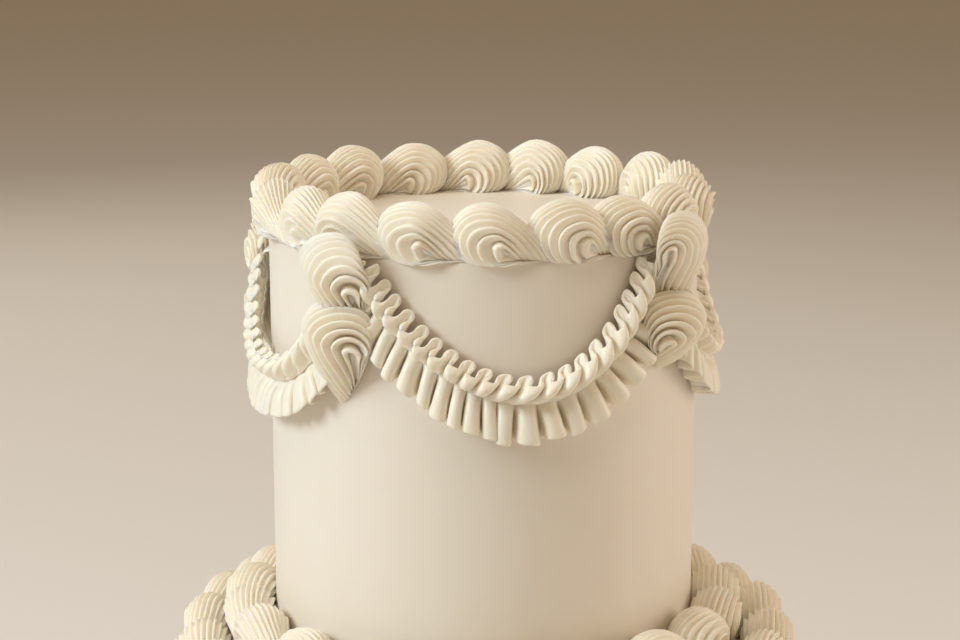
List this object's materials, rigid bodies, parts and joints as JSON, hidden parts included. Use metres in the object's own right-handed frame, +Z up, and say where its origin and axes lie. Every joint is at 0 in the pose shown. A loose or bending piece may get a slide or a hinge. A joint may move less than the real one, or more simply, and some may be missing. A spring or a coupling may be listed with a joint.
{
  "type": "two-tier piped wedding cake",
  "caption": "Round two-tier wedding cake in ivory buttercream, piped with shell borders, shell columns and ruffled garlands.",
  "frame": {"origin": "the middle of the cake's underside, on the surface it stands on", "axes": "+Z up, the pictured front towards -Y, +X to the right seen from the front"},
  "size_m": [0.2547, 0.2537, 0.3224],
  "materials": {
    "smooth_buttercream": "ivory buttercream spread and scraped smooth, soft satin, with faint waves and a few tiny pores",
    "piped_buttercream": "ivory buttercream piped through a star tip and a petal tip, satin, ridged, slightly ragged at its thin edges"
  },
  "bodies": {
    "root": {"lower_tier": "smooth_buttercream", "upper_tier": "smooth_buttercream", "rim_shell_1": "piped_buttercream", "rim_shell_2": "piped_buttercream", "rim_shell_3": "piped_buttercream", "rim_shell_4": "piped_buttercream", "rim_shell_5": "piped_buttercream", "rim_shell_6": "piped_buttercream", "rim_shell_7": "piped_buttercream", "rim_shell_8": "piped_buttercream", "rim_shell_9": "piped_buttercream", "rim_shell_10": "piped_buttercream", "rim_shell_11": "piped_buttercream", "rim_shell_12": "piped_buttercream", "rim_shell_13": "piped_buttercream", "rim_shell_14": "piped_buttercream", "rim_shell_15": "piped_buttercream", "rim_shell_16": "piped_buttercream", "rim_shell_17": "piped_buttercream", "rim_shell_18": "piped_buttercream", "column_1_upper_shell": "piped_buttercream", "column_1_lower_shell": "piped_buttercream", "column_2_upper_shell": "piped_buttercream", "column_2_lower_shell": "piped_buttercream", "column_3_upper_shell": "piped_buttercream", "column_3_lower_shell": "piped_buttercream", "column_4_upper_shell": "piped_buttercream", "column_4_lower_shell": "piped_buttercream", "column_5_upper_shell": "piped_buttercream", "column_5_lower_shell": "piped_buttercream", "ruffle_1": "piped_buttercream", "frill_1": "piped_buttercream", "ruffle_2": "piped_buttercream", "frill_2": "piped_buttercream", "ruffle_3": "piped_buttercream", "frill_3": "piped_buttercream", "ruffle_4": "piped_buttercream", "frill_4": "piped_buttercream", "ruffle_5": "piped_buttercream", "frill_5": "piped_buttercream", "lower_column_1_upper_shell": "piped_buttercream", "lower_column_1_lower_shell": "piped_buttercream", "lower_column_2_upper_shell": "piped_buttercream", "lower_column_2_lower_shell": "piped_buttercream", "lower_column_3_upper_shell": "piped_buttercream", "lower_column_3_lower_shell": "piped_buttercream", "lower_column_4_upper_shell": "piped_buttercream", "lower_column_4_lower_shell": "piped_buttercream", "lower_column_5_upper_shell": "piped_buttercream", "lower_column_5_lower_shell": "piped_buttercream", "lower_garland_1": "piped_buttercream", "lower_garland_2": "piped_buttercream", "lower_garland_3": "piped_buttercream", "lower_garland_4": "piped_buttercream", "lower_garland_5": "piped_buttercream", "foot_border": "piped_buttercream", "ledge_border": "piped_buttercream", "base_border": "piped_buttercream"}
  },
  "joints": []
}
